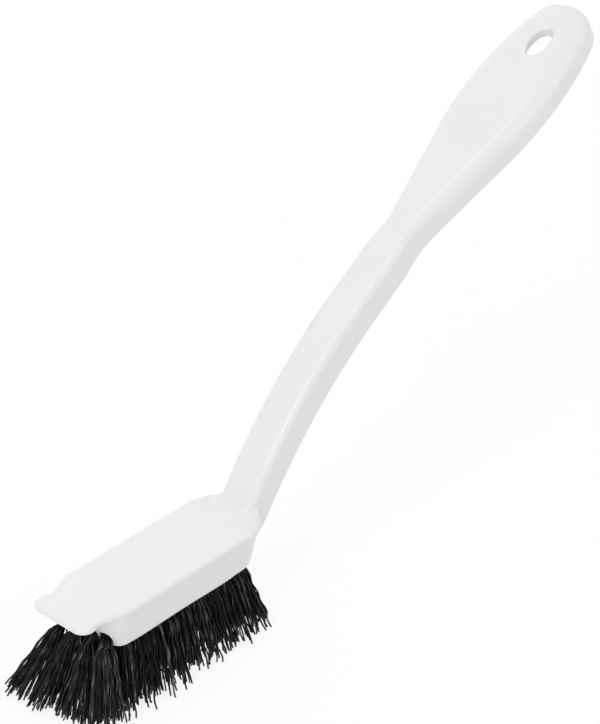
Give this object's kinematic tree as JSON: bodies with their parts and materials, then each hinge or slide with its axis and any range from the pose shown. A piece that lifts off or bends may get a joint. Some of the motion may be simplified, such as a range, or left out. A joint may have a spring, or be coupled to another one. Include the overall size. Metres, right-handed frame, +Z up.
{
  "type": "grout brush",
  "caption": "Grout brush: a flat moulded head with a scraping lip and leaning bristle tufts under it, on a curved neck that widens to a hollow paddle grip with an oval hanging hole.",
  "frame": {"origin": "on the flat working face of the bristles, under the head, at the fourth tuft of the middle row", "axes": "+Z up from the working face through the head, +X back along the handle, so +Y is to the right of a person who holds the grip and looks towards the head"},
  "size_m": [0.2458, 0.0462, 0.1532],
  "materials": {
    "body": "satin white",
    "bristle": "black filament",
    "anchor_wire": "plain flat wire"
  },
  "bodies": {
    "root": {"moulded_body": "body", "tuft_anchors": "anchor_wire", "tuft_front_01": "bristle", "tuft_front_02": "bristle", "tuft_front_03": "bristle", "tuft_front_04": "bristle", "tuft_left_01": "bristle", "tuft_left_02": "bristle", "tuft_left_03": "bristle", "tuft_left_04": "bristle", "tuft_left_05": "bristle", "tuft_left_06": "bristle", "tuft_left_07": "bristle", "tuft_left_08": "bristle", "tuft_left_09": "bristle", "tuft_middle_01": "bristle", "tuft_middle_02": "bristle", "tuft_middle_03": "bristle", "tuft_middle_04": "bristle", "tuft_middle_05": "bristle", "tuft_middle_06": "bristle", "tuft_middle_07": "bristle", "tuft_middle_08": "bristle", "tuft_middle_09": "bristle", "tuft_right_01": "bristle", "tuft_right_02": "bristle", "tuft_right_03": "bristle", "tuft_right_04": "bristle", "tuft_right_05": "bristle", "tuft_right_06": "bristle", "tuft_right_07": "bristle", "tuft_right_08": "bristle", "tuft_right_09": "bristle", "tuft_second_01": "bristle", "tuft_second_02": "bristle"}
  },
  "joints": []
}
